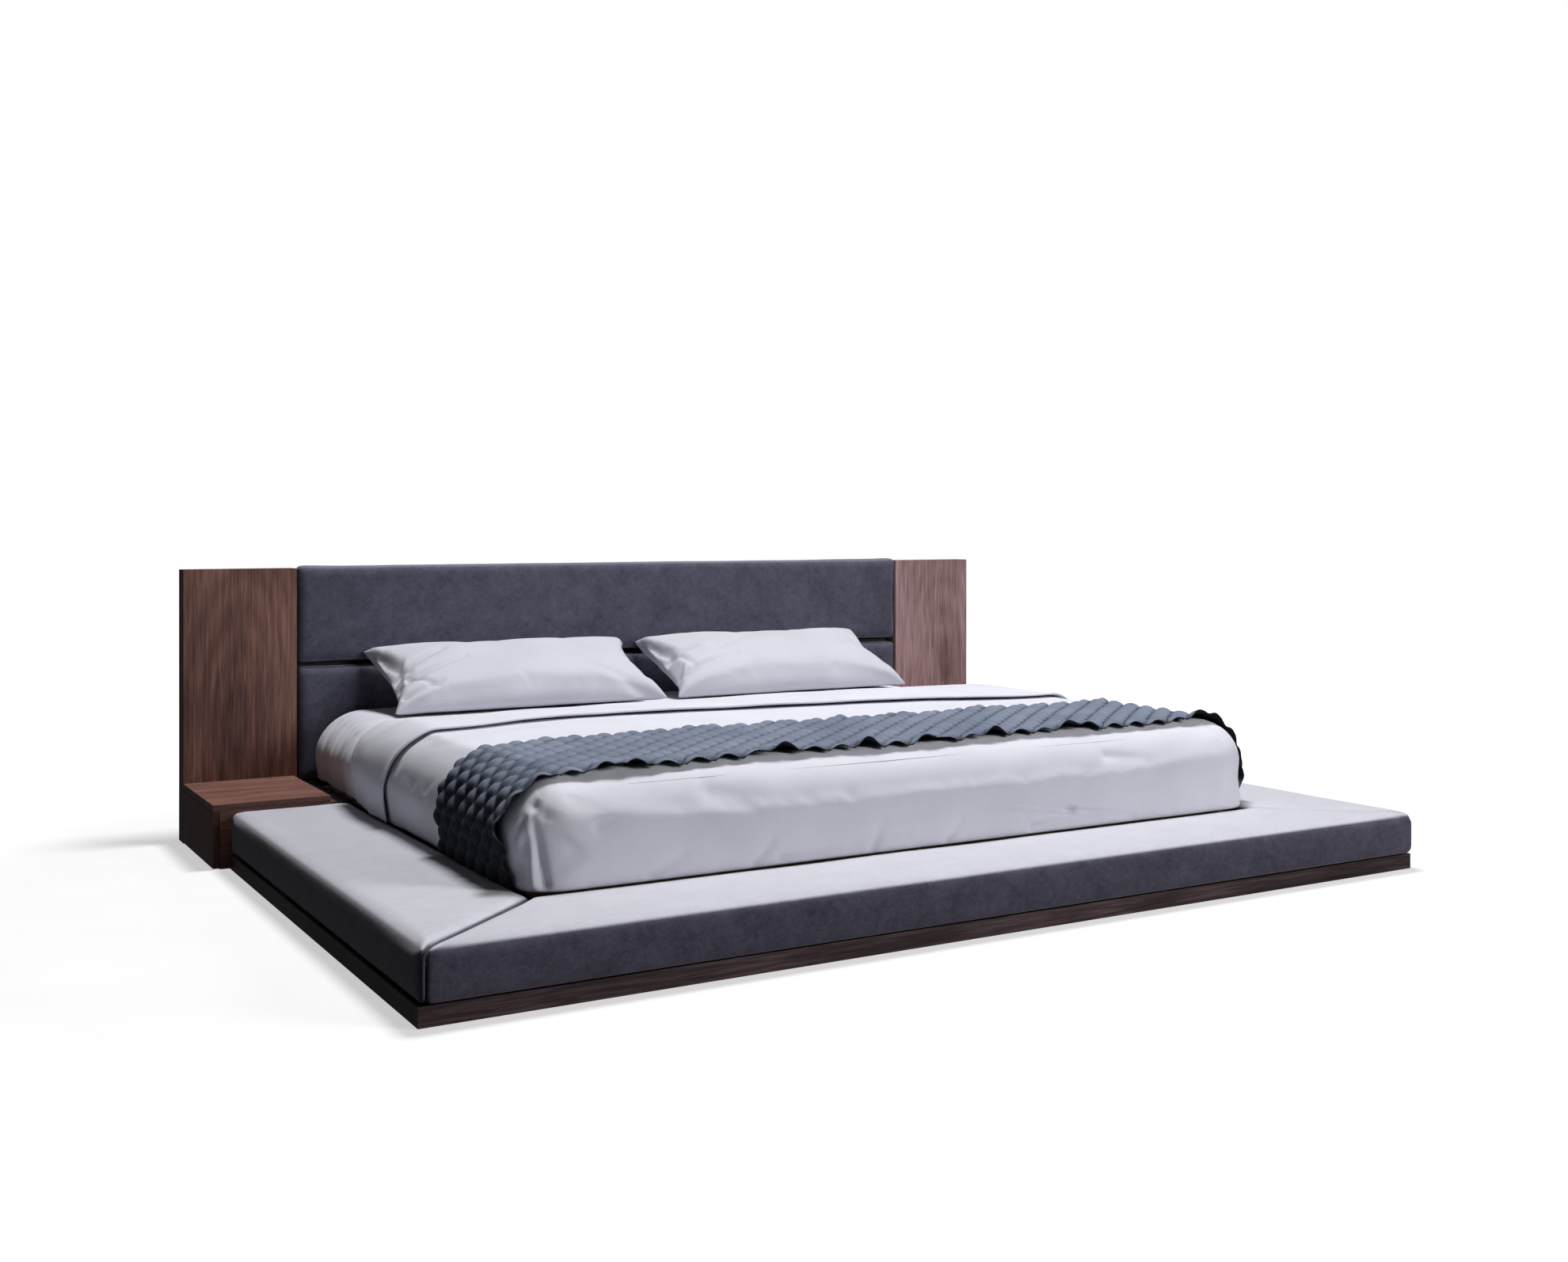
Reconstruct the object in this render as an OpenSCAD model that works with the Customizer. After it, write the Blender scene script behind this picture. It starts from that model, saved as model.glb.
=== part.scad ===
// Low platform bed with an upholstered surround, a panelled headboard with
// floating-look bedside tables, and a side-opening drawer in each table.
// Frame: +X to the viewer's right, -Y the foot end, +Y the headboard, +Z up.
// The origin is the centre of the footprint, on the floor.

/* [Mattress] */
// Mattress width
mattress_w = 2000; // [1600:10:2000]
// Mattress length
mattress_l = 2000; // [1900:10:2100]
// Mattress height
mattress_h = 235; // [160:5:280]
// Room beside the mattress for the hanging bedding
side_gap = 50; // [45:1:80]
// Room between the mattress and the foot pad
foot_gap = 38; // [34:1:60]

/* [Platform] */
// Width of the padded surround
pad_w = 336; // [260:2:380]
// Height of the top of the surround
pad_top = 160; // [150:1:200]
// Height of the underside of the surround
pad_bottom = 46; // [44:1:60]
// Height of the visible plinth
plinth_h = 42; // [36:1:46]
// Thickness of the plinth boards
plinth_t = 18; // [15:1:25]
// How far the foot plinth stands back from the pad face
plinth_setback = 18; // [8:1:40]
// Thickness of the structural rails
rail_t = 18; // [15:1:22]
// Number of slats on each side of the centre beam
slat_count = 14; // [10:1:16]
// Width of one slat
slat_w = 68; // [50:2:80]
// Thickness of one slat
slat_t = 20; // [14:1:24]

/* [Headboard] */
// Overall width of the headboard
headboard_w = 2860; // [2780:10:3000]
// Width of the upholstered centre
cushion_w = 2200; // [2180:10:2240]
// Height of the wooden wings
wing_h = 836; // [700:2:1000]
// Height of the upholstered centre
cushion_top = 846; // [710:2:1010]
// Height of the joint between the two headboard cushions
joint_z = 530; // [440:2:600]
// Width of the joint between the two headboard cushions
joint_gap = 10; // [6:1:14]
// Depth of the headboard, front to back
headboard_t = 84; // [70:1:110]

/* [Bedside table] */
// Depth of the table, front to back
table_d = 485; // [420:5:520]
// Height of the table top
table_top = 182; // [178:1:220]
// Thickness of the table top
slab_t = 19; // [16:1:25]
// Thickness of the case panels
panel_t = 18; // [15:1:20]

/* [Drawer] */
// Thickness of the drawer front
front_t = 16; // [14:1:20]
// Thickness of the drawer sides
drawer_t = 12; // [10:1:15]
// Height of the drawer sides
drawer_h = 104; // [80:2:110]
// How far a drawer slides out
drawer_travel = 220; // [150:5:230]

/* [Bedding] */
// Thickness of the duvet
duvet_t = 28; // [20:1:40]
// Length of the duvet along the bed
duvet_l = 1500; // [900:10:1500]
// Thickness of the quilted runner
runner_t = 11; // [8:1:16]
// Width of the quilted runner along the bed
runner_l = 520; // [400:10:650]
// Pillow width
pillow_w = 880; // [700:10:900]
// Pillow depth
pillow_d = 425; // [400:10:520]
// Pillow thickness
pillow_t = 120; // [90:5:150]
// Angle at which the pillows lean on the headboard
pillow_tilt = 25; // [10:1:30]

/* [Hidden] */
$fn = 48;

walnut = "#5b3a2e";
dark_walnut = "#38241f";
plywood = "#c9a877";
beech = "#dcc39a";
birch = "#d8c3a0";
birch_pale = "#e4d6b8";
ticking = "#e8e8ee";
slate = "#3d404f";
linen = "#c9c9d6";
black_board = "#1b191b";
quilt_blue = "#4a5870";
steel = "#9a9da3";
black_plastic = "#222226";

// overall places
well_w = mattress_w + 2 * side_gap;
well_l = mattress_l + foot_gap + 2;
depth = pad_w + well_l + headboard_t;
y_foot = -depth / 2;
y_well = y_foot + pad_w;
y_back = depth / 2;
y_head = y_back - headboard_t;
x_well = well_w / 2;
x_pad = x_well + pad_w;
x_out = headboard_w / 2;
y_table = y_head - table_d;
y_pad_end = y_table - 5;
slab_under = table_top - slab_t;

// structure under the mattress
fit_gap = 2;
ledge_t = 15;
rail_x = x_well - fit_gap - rail_t;
ledger_w = 30;
ledger_h = 40;
slat_z = 123;
slat_top = slat_z + slat_t;
slat_in = 2;
slat_out = rail_x - 3;
slat_pitch = (well_l - 2 * rail_t - slat_w) / (slat_count - 1);
beam_w = 60;
beam_h = 60;
leg_r = 16;
foot_r = 22;
foot_h = 6;
leg_ys = [y_well + 260, y_well + well_l / 2, y_head - 260];
bearer_w = 60;
bearer_count = 5;

// headboard
cushion_back = y_head + 54;
board_t = 12;
post_w = 60;
post_t = 14;
post_x = 700;
post_y = cushion_back + board_t;
back_z = 30;
back_drop = 8;
batten_h = 60;
bracket_arm = 60;
bracket_lift = 10;
cushion_lift = 4;
wing_x = cushion_w / 2 + 2;
bracket_t = 4;
bracket_zs = [240, 700];

// bedside table and drawer
slab_x = x_out - 318;
case_x = x_out - front_t - fit_gap;
inner_x = slab_x - panel_t;
floor_z = 12;
cap_t = 14;
front_gap = 1.5;
front_lift = 3;
latch_half = 12;
latch_z = 84;
latch_h = 20;
floor_t = 12;
slide_gap = 13;
slide_t = 6;
slide_h = 36;
slide_z = 72;
box_z = 36;
bottom_lift = 4;
bottom_t = 6;
box_back = slab_x + 16;
box_y0 = y_table + panel_t + slide_gap;
box_y1 = y_head - slide_gap;

// bedding
bed_z = slat_top + 0.5;
mattress_top = bed_z + mattress_h;
y_mat = y_head - 2 - mattress_l;
sheet_t = 4;
sheet_top = mattress_top + 0.5 + sheet_t;
sheet_x = x_well + 6;
sheet_in = sheet_x - 20;
sheet_hem = pad_top + 12;
duvet_x = x_well + 34;
duvet_in = sheet_x + 1;
duvet_top = sheet_top + 1 + duvet_t;
duvet_y = y_well - 12;
duvet_hem = pad_top + 3;
runner_x = duvet_x + 14;
runner_y = y_well + 60;
runner_hem = pad_top + 6;
runner_top = duvet_top + 1 + runner_t;
pillow_x = 462;
pillow_back = 12;
seam_t = 26;
crown_in = 100;
crown_y = 10;
crown_z = 8;

// A box given by two opposite corners.
module block(a, b) {
    translate(a) cube(b - a);
}

// Draws its children on the right-hand side (+1) or mirrored to the left (-1).
module on_side(s) {
    if (s > 0) children();
    else mirror([1, 0, 0]) children();
}

// ---- plinth and surround ----

module plinth_front() {
    color(dark_walnut)
        block([-x_pad, y_foot + plinth_setback, 0],
              [x_pad, y_foot + plinth_setback + plinth_t, plinth_h]);
}

module plinth_side(s) {
    color(dark_walnut) on_side(s)
        block([x_pad - plinth_t, y_foot + plinth_setback + plinth_t, 0], [x_pad, y_table, plinth_h]);
}

// Steel angles in the two foot corners of the plinth.
bracket_leg = 60;
bracket_h = 24;
corner_x = x_pad - plinth_t;
corner_y = y_foot + plinth_setback + plinth_t;

module corner_bracket() {
    difference() {
        block([corner_x - bracket_leg, corner_y, 5], [corner_x, corner_y + bracket_leg, 5 + bracket_h]);
        block([corner_x - bracket_leg - 1, corner_y + 3, 4],
              [corner_x - 3, corner_y + bracket_leg + 1, 6 + bracket_h]);
    }
}

module corner_brackets() {
    color(steel) for (s = [-1, 1]) on_side(s) corner_bracket();
}

module screw(head_r, shank_r, length) {
    cylinder(r = head_r, h = 3);
    translate([0, 0, -length]) cylinder(r = shank_r, h = length + 1);
}

module bracket_screws() {
    color(steel) for (s = [-1, 1]) on_side(s) {
        translate([corner_x - 40, corner_y + 3, 20]) rotate([-90, 0, 0]) screw(5, 2.2, 15);
        translate([corner_x - 3, corner_y + 40, 20]) rotate([0, -90, 0]) screw(5, 2.2, 15);
    }
}

module ledge_front() {
    color(black_board)
        block([-corner_x + 1, corner_y + 1, pad_bottom - ledge_t],
              [corner_x - 1, y_well - fit_gap, pad_bottom]);
}

module ledge_side(s) {
    color(black_board) on_side(s)
        block([x_well, y_well - 1, pad_bottom - ledge_t], [corner_x - 1, y_table, pad_bottom]);
}

// Blocks that carry the ledge boards between the plinth and the rails.
module ledge_bearers() {
    step_y = (y_pad_end - y_well - 200) / (bearer_count - 1);
    step_x = (2 * x_well - 200) / (bearer_count - 1);
    color(plywood) {
        for (s = [-1, 1], i = [0 : bearer_count - 1]) on_side(s)
            translate([x_well + 1, y_well + 70 + i * step_y, 0])
                cube([pad_w - plinth_t - 2, bearer_w, pad_bottom - ledge_t]);
        for (i = [0 : bearer_count - 1])
            translate([-x_well + 70 + i * step_x, corner_y + 1, 0])
                cube([bearer_w, y_well - corner_y - 6, pad_bottom - ledge_t]);
    }
}

module pad_front() {
    color(slate) translate([0, 0, pad_bottom]) linear_extrude(pad_top - pad_bottom)
        polygon([[-x_pad, y_foot], [x_pad, y_foot], [x_well, y_well], [-x_well, y_well]]);
}

module pad_side(s) {
    color(slate) on_side(s) translate([0, 0, pad_bottom]) linear_extrude(pad_top - pad_bottom)
        polygon([[x_pad, y_foot + 1], [x_pad, y_pad_end], [x_well, y_pad_end], [x_well, y_well + 1]]);
}

// ---- rails, beam and slats ----

module side_rail(s) {
    color(black_board) on_side(s)
        block([rail_x, y_well + rail_t + fit_gap, 0], [rail_x + rail_t, y_head - rail_t - 1, slat_top]);
}

module rail_foot() {
    color(black_board)
        block([-x_well + fit_gap, y_well + fit_gap, 0],
              [x_well - fit_gap, y_well + fit_gap + rail_t, slat_top - 1]);
}

module rail_head() {
    color(black_board)
        block([-x_well + fit_gap, y_head - rail_t - 1, 0], [x_well - fit_gap, y_head - 1, slat_top]);
}

// Bolts through the foot and head rails into the ends of the side rails.
module rail_bolts() {
    color(steel) for (s = [-1, 1], z = [45, 100]) on_side(s) {
        translate([rail_x + rail_t / 2, y_well + fit_gap, z]) rotate([90, 0, 0]) cylinder(r = 6, h = 1.6);
        translate([rail_x + rail_t / 2, y_well + fit_gap, z]) rotate([-90, 0, 0])
            cylinder(r = 3, h = rail_t + 40);
    }
}

module slat_ledger(s) {
    color(black_board) on_side(s)
        block([rail_x - ledger_w, y_well + rail_t + 10, slat_z - ledger_h],
              [rail_x, y_head - rail_t - 10, slat_z]);
}

module centre_beam() {
    color(plywood)
        block([-beam_w / 2, y_well + rail_t + fit_gap, slat_z - beam_h],
              [beam_w / 2, y_head - rail_t - 1, slat_z]);
}

module centre_legs() {
    color(steel) for (y = leg_ys) translate([0, y, foot_h]) {
        cylinder(r = leg_r, h = slat_z - beam_h - foot_h - 4);
        translate([-25, -25, slat_z - beam_h - foot_h - 4]) cube([50, 50, 4]);
    }
}

module leg_feet() {
    color(black_plastic) for (y = leg_ys) translate([0, y, 0]) cylinder(r = foot_r, h = foot_h);
}

function slat_y(i) = y_well + rail_t + 4 + i * (slat_pitch - 0.6);

module slats(s) {
    color(beech) on_side(s) for (i = [0 : slat_count - 1])
        translate([slat_in, slat_y(i), slat_z]) cube([slat_out - slat_in, slat_w, slat_t]);
}

module slat_end_caps() {
    color(black_plastic) for (s = [-1, 1], i = [0 : slat_count - 1]) on_side(s)
        translate([slat_out, slat_y(i), slat_z]) cube([3, slat_w, slat_t - 2]);
}

// ---- headboard ----

module wing(s) {
    color(walnut) on_side(s) block([wing_x, y_head, 0], [x_out, y_back - bracket_t, wing_h]);
}

module headboard_back() {
    color(black_board)
        block([-cushion_w / 2, cushion_back, back_z], [cushion_w / 2, post_y, wing_h - back_drop]);
}

module headboard_posts() {
    color(plywood) for (s = [-1, 1]) on_side(s)
        block([post_x, post_y, 0], [post_x + post_w, post_y + post_t, wing_h - 2 * back_drop]);
}

module headboard_battens() {
    color(plywood) for (z = bracket_zs) {
        block([-post_x, post_y, z], [post_x, post_y + post_t, z + batten_h]);
        for (s = [-1, 1]) on_side(s)
            block([post_x + post_w, post_y, z], [wing_x, post_y + post_t, z + batten_h]);
    }
}

module wing_brackets() {
    color(steel) for (s = [-1, 1], z = bracket_zs) on_side(s)
        block([wing_x - bracket_arm, y_back - bracket_t, z + bracket_lift],
              [wing_x + bracket_arm, y_back, z + batten_h - bracket_lift]);
}

module cushion_upper() {
    color(slate)
        block([-cushion_w / 2, y_head, joint_z + joint_gap / 2], [cushion_w / 2, cushion_back, cushion_top]);
}

module cushion_lower() {
    color(slate)
        block([-cushion_w / 2, y_head, pad_top + cushion_lift], [cushion_w / 2, cushion_back, joint_z - joint_gap / 2]);
}

// ---- bedside tables ----

module table_slab(s) {
    color(walnut) on_side(s) block([slab_x, y_table, slab_under], [x_out, y_head, table_top]);
}

module table_front(s) {
    color(walnut) on_side(s) block([slab_x, y_table, 0], [case_x, y_table + panel_t, slab_under]);
}

module table_inner(s) {
    color(walnut) on_side(s) block([inner_x, y_table, 0], [slab_x, y_head, slab_under]);
}

module table_bottom(s) {
    color(plywood) on_side(s)
        block([slab_x, y_table + panel_t, floor_z], [case_x, y_head, floor_z + floor_t]);
}

// Narrow board that closes the strip between the table and the mattress.
module table_cap(s) {
    color(black_board) on_side(s)
        block([x_well, y_table, slab_under - fit_gap - cap_t], [inner_x, y_head, slab_under - fit_gap]);
}

module slide_pair(near, far) {
    for (y = [near, far])
        block([box_back + 4, y, slide_z], [case_x - 4, y + slide_t, slide_z + slide_h]);
}

module slide_fixed(s) {
    color(steel) on_side(s) slide_pair(y_table + panel_t, y_head - slide_t);
}

module slide_moving(s) {
    color(steel) on_side(s) slide_pair(box_y0 - slide_t, box_y1);
}

module push_latches() {
    color(black_plastic) for (s = [-1, 1]) on_side(s)
        translate([slab_x, (y_table + y_head) / 2 - latch_half, latch_z])
            cube([box_back - fit_gap - slab_x, 2 * latch_half, latch_h]);
}

// ---- drawers ----

module drawer_front(s) {
    color(walnut) on_side(s)
        block([x_out - front_t, y_table, front_lift],
              [x_out, y_head - front_gap, slab_under - front_gap]);
}

module drawer_box(s) {
    color(birch) on_side(s) {
        for (y = [box_y0, box_y1 - drawer_t])
            block([box_back, y, box_z], [x_out - front_t, y + drawer_t, box_z + drawer_h]);
        block([box_back, box_y0 + drawer_t, box_z],
              [box_back + drawer_t, box_y1 - drawer_t, box_z + drawer_h]);
    }
}

module drawer_bottom(s) {
    color(birch_pale) on_side(s)
        block([box_back + drawer_t, box_y0 + drawer_t, box_z + bottom_lift],
              [x_out - front_t, box_y1 - drawer_t, box_z + bottom_lift + bottom_t]);
}

// ---- bedding ----

module mattress() {
    color(ticking)
        block([-mattress_w / 2, y_mat, bed_z], [mattress_w / 2, y_mat + mattress_l, mattress_top]);
}

// An upside-down tray: a top with a left and a right drop, and a foot drop if foot > 0.
module cover(x_in, x_edge, y0, y1, z_hem, z_under, z_top, foot) {
    difference() {
        block([-x_edge, y0, z_hem], [x_edge, y1, z_top]);
        block([-x_in, y0 + (foot > 0 ? foot : -1), z_hem - 1], [x_in, y1 + 1, z_under]);
    }
}

module flat_sheet() {
    color(linen) cover(sheet_in, sheet_x, y_mat + 2, y_head - 26, sheet_hem,
                       mattress_top + 0.5, sheet_top, 0);
}

module duvet() {
    color(linen) cover(duvet_in, duvet_x, duvet_y, duvet_y + duvet_l, duvet_hem,
                       sheet_top + 1, duvet_top, y_mat - 4 - duvet_y);
}

module quilted_runner() {
    color(quilt_blue) cover(duvet_x + 2, runner_x, runner_y, runner_y + runner_l, runner_hem,
                            duvet_top + 1, runner_top, 0);
}

// A pillow: full and thick in the middle, thin along its seamed edge.
module pillow(s) {
    lift = pillow_d / 2 * sin(pillow_tilt) + seam_t / 2;
    color(linen) on_side(s)
        translate([pillow_x, y_head - pillow_back - pillow_d / 2 * cos(pillow_tilt),
                   sheet_top + fit_gap + lift])
            rotate([pillow_tilt, 0, 0]) hull() {
                cube([pillow_w, pillow_d, seam_t], center = true);
                translate([0, crown_y, crown_z])
                    cube([pillow_w - 2 * crown_in, pillow_d - 2 * crown_in, pillow_t], center = true);
            }
}

plinth_front();
plinth_side(-1);  // plinth_left
plinth_side(1);  // plinth_right
corner_brackets();
bracket_screws();
ledge_front();
ledge_side(-1);  // ledge_left
ledge_side(1);  // ledge_right
ledge_bearers();
pad_front();
pad_side(-1);  // pad_left
pad_side(1);  // pad_right
side_rail(-1);  // rail_left
side_rail(1);  // rail_right
rail_foot();
rail_head();
rail_bolts();
slat_ledger(-1);  // ledger_left
slat_ledger(1);  // ledger_right
centre_beam();
centre_legs();
leg_feet();
slats(-1);  // slats_left
slats(1);  // slats_right
slat_end_caps();
wing(-1);  // wing_left
wing(1);  // wing_right
headboard_back();
headboard_posts();
headboard_battens();
wing_brackets();
cushion_upper();
cushion_lower();
table_slab(-1);  // table_top_left
table_slab(1);  // table_top_right
table_front(-1);  // table_front_left
table_front(1);  // table_front_right
table_inner(-1);  // table_inner_left
table_inner(1);  // table_inner_right
table_bottom(-1);  // table_bottom_left
table_bottom(1);  // table_bottom_right
table_cap(-1);  // table_cap_left
table_cap(1);  // table_cap_right
slide_fixed(-1);  // slide_fixed_left
slide_fixed(1);  // slide_fixed_right
push_latches();
drawer_front(-1);  // drawer_front_left
drawer_front(1);  // drawer_front_right
drawer_box(-1);  // drawer_box_left
drawer_box(1);  // drawer_box_right
drawer_bottom(-1);  // drawer_bottom_left
drawer_bottom(1);  // drawer_bottom_right
slide_moving(-1);  // slide_moving_left
slide_moving(1);  // slide_moving_right
mattress();
flat_sheet();
duvet();
quilted_runner();
pillow(-1);  // pillow_left
pillow(1);  // pillow_right
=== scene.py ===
"""The looks of a low platform bed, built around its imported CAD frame.

Every length is in metres, in the frame's own axes: +X right, -Y foot end, +Y headboard, +Z up.
"""

import math

import bpy
import numpy as np
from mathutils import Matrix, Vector, noise
from mathutils.bvhtree import BVHTree


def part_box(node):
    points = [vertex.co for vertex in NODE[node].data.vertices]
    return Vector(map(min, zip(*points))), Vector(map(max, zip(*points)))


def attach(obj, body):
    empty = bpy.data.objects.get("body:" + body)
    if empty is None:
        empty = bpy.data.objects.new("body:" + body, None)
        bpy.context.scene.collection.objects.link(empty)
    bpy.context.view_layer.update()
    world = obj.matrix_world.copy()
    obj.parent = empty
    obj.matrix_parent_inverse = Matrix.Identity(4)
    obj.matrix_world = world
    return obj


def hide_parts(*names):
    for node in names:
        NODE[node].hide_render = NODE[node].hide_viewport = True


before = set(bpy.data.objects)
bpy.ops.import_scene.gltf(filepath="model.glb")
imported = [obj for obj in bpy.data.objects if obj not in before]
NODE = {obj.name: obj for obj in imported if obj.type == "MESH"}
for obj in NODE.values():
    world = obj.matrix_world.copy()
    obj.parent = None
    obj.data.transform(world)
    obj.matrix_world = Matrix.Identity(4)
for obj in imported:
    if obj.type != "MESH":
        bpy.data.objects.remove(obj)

scene = bpy.context.scene
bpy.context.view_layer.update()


# ---------------------------------------------------------------- camera and light

# The camera stands to the left of the foot end, level, and looks past the near corner.
CAMERA_PLACE = Vector((-2.326, -4.566, 0.972))
CAMERA_YAW = 0.5954
CAMERA_LENS = 39.35
CAMERA_SHIFT = (-0.1313, -0.0674)


def add_camera():
    data = bpy.data.cameras.new("camera")
    data.lens = CAMERA_LENS
    data.sensor_width = 36
    data.shift_x, data.shift_y = CAMERA_SHIFT
    camera = bpy.data.objects.new("camera", data)
    camera.location = CAMERA_PLACE
    camera.rotation_euler = (math.radians(90), 0, -CAMERA_YAW)
    scene.collection.objects.link(camera)
    scene.camera = camera


def add_area_light(name, place, target, size, power):
    data = bpy.data.lights.new(name, "AREA")
    data.shape = "DISK"
    data.size = size
    data.energy = power
    light = bpy.data.objects.new(name, data)
    light.location = place
    aim = Vector(target) - Vector(place)
    light.rotation_euler = aim.to_track_quat("-Z", "Y").to_euler()
    scene.collection.objects.link(light)


def add_world(ambient, backdrop):
    """A plain pale world: brighter where it is seen than where it lights the bed."""
    world = bpy.data.worlds.new("world")
    world.use_nodes = True
    scene.world = world
    nodes, links = world.node_tree.nodes, world.node_tree.links
    nodes.clear()
    seen = nodes.new("ShaderNodeBackground")
    seen.inputs["Color"].default_value = (1, 1, 1, 1)
    seen.inputs["Strength"].default_value = backdrop
    lit = nodes.new("ShaderNodeBackground")
    lit.inputs["Color"].default_value = (0.92, 0.94, 1, 1)
    lit.inputs["Strength"].default_value = ambient
    path = nodes.new("ShaderNodeLightPath")
    mix = nodes.new("ShaderNodeMixShader")
    out = nodes.new("ShaderNodeOutputWorld")
    links.new(path.outputs["Is Camera Ray"], mix.inputs[0])
    links.new(lit.outputs[0], mix.inputs[1])
    links.new(seen.outputs[0], mix.inputs[2])
    links.new(mix.outputs[0], out.inputs[0])


# ---------------------------------------------------------------- materials

class Surface:
    """A principled material and the few node calls that the recipes below need."""

    def __init__(self, name, roughness, sheen=0.0, specular=0.4, metallic=0.0):
        self.material = bpy.data.materials.new(name)
        self.material.use_nodes = True
        self.tree = self.material.node_tree
        self.shader = self.tree.nodes["Principled BSDF"]
        self.set(self.shader, "Roughness", roughness)
        self.set(self.shader, "Specular IOR Level", specular)
        self.set(self.shader, "Metallic", metallic)
        if sheen:
            self.set(self.shader, "Sheen Weight", sheen)
            self.set(self.shader, "Sheen Roughness", 0.45)
        self.coords = self.tree.nodes.new("ShaderNodeTexCoord")

    @staticmethod
    def set(node, socket, value):
        node.inputs[socket].default_value = value

    def link(self, source, node, socket):
        self.tree.links.new(source, node.inputs[socket])

    def place(self, scale, shift=(0, 0, 0)):
        """Object coordinates, scaled per axis."""
        node = self.tree.nodes.new("ShaderNodeMapping")
        self.set(node, "Scale", scale)
        self.set(node, "Location", shift)
        self.link(self.coords.outputs["Object"], node, "Vector")
        return node.outputs[0]

    def noise(self, where, scale, detail=3.0, rough=0.5, distortion=0.0):
        node = self.tree.nodes.new("ShaderNodeTexNoise")
        for socket, value in (("Scale", scale), ("Detail", detail), ("Roughness", rough),
                              ("Distortion", distortion)):
            self.set(node, socket, value)
        self.link(where, node, "Vector")
        return node.outputs["Fac"]

    def distance(self, where, centre):
        node = self.tree.nodes.new("ShaderNodeVectorMath")
        node.operation = "DISTANCE"
        self.link(where, node, 0)
        self.set(node, 1, centre)
        return node.outputs["Value"]

    def falloff(self, value, near, far):
        """1 at near, fading to 0 at far."""
        node = self.tree.nodes.new("ShaderNodeMapRange")
        node.interpolation_type = "SMOOTHSTEP"
        for socket, number in (("From Min", near), ("From Max", far), ("To Min", 1), ("To Max", 0)):
            self.set(node, socket, number)
        self.link(value, node, "Value")
        return node.outputs[0]

    def waves(self, where, axis, scale):
        node = self.tree.nodes.new("ShaderNodeTexWave")
        node.bands_direction = axis
        self.set(node, "Scale", scale)
        self.link(where, node, "Vector")
        return node.outputs["Fac"]

    def maths(self, kind, a, b):
        node = self.tree.nodes.new("ShaderNodeMath")
        node.operation = kind
        for i, value in enumerate((a, b)):
            if isinstance(value, (int, float)):
                node.inputs[i].default_value = value
            else:
                self.tree.links.new(value, node.inputs[i])
        return node.outputs[0]

    def ramp(self, fac, stops):
        node = self.tree.nodes.new("ShaderNodeValToRGB")
        elements = node.color_ramp.elements
        while len(elements) < len(stops):
            elements.new(0.5)
        for element, (at, colour) in zip(elements, stops):
            element.position = at
            element.color = (*colour, 1)
        self.link(fac, node, "Fac")
        return node.outputs["Color"]

    def mix(self, fac, a, b, kind="MIX"):
        node = self.tree.nodes.new("ShaderNodeMix")
        node.data_type = "RGBA"
        node.blend_type = kind
        for i, value in ((0, fac), (6, a), (7, b)):
            if isinstance(value, (int, float)):
                node.inputs[i].default_value = value
            elif isinstance(value, tuple):
                node.inputs[i].default_value = (*value, 1)
            else:
                self.tree.links.new(value, node.inputs[i])
        return node.outputs[2]

    def facing_up(self, low, high):
        """0 on walls to 1 on tops, by the surface's own normal."""
        split = self.tree.nodes.new("ShaderNodeSeparateXYZ")
        self.link(self.coords.outputs["Normal"], split, 0)
        node = self.tree.nodes.new("ShaderNodeMapRange")
        node.interpolation_type = "SMOOTHSTEP"
        self.set(node, "From Min", low)
        self.set(node, "From Max", high)
        self.link(split.outputs["Z"], node, "Value")
        return node.outputs[0]

    def colour(self, source):
        self.link(source, self.shader, "Base Color")

    def roughness(self, fac, low, high):
        node = self.tree.nodes.new("ShaderNodeMapRange")
        self.set(node, "To Min", low)
        self.set(node, "To Max", high)
        self.link(fac, node, "Value")
        self.link(node.outputs[0], self.shader, "Roughness")

    def bump(self, height, distance, strength=1.0, over=None):
        node = self.tree.nodes.new("ShaderNodeBump")
        self.set(node, "Distance", distance)
        self.set(node, "Strength", strength)
        self.link(height, node, "Height")
        if over is not None:
            self.link(over, node, "Normal")
        self.link(node.outputs[0], self.shader, "Normal")
        return node.outputs[0]


def grain_scale(axis, across, along):
    return tuple(along if letter == axis else across for letter in "XYZ")


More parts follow.
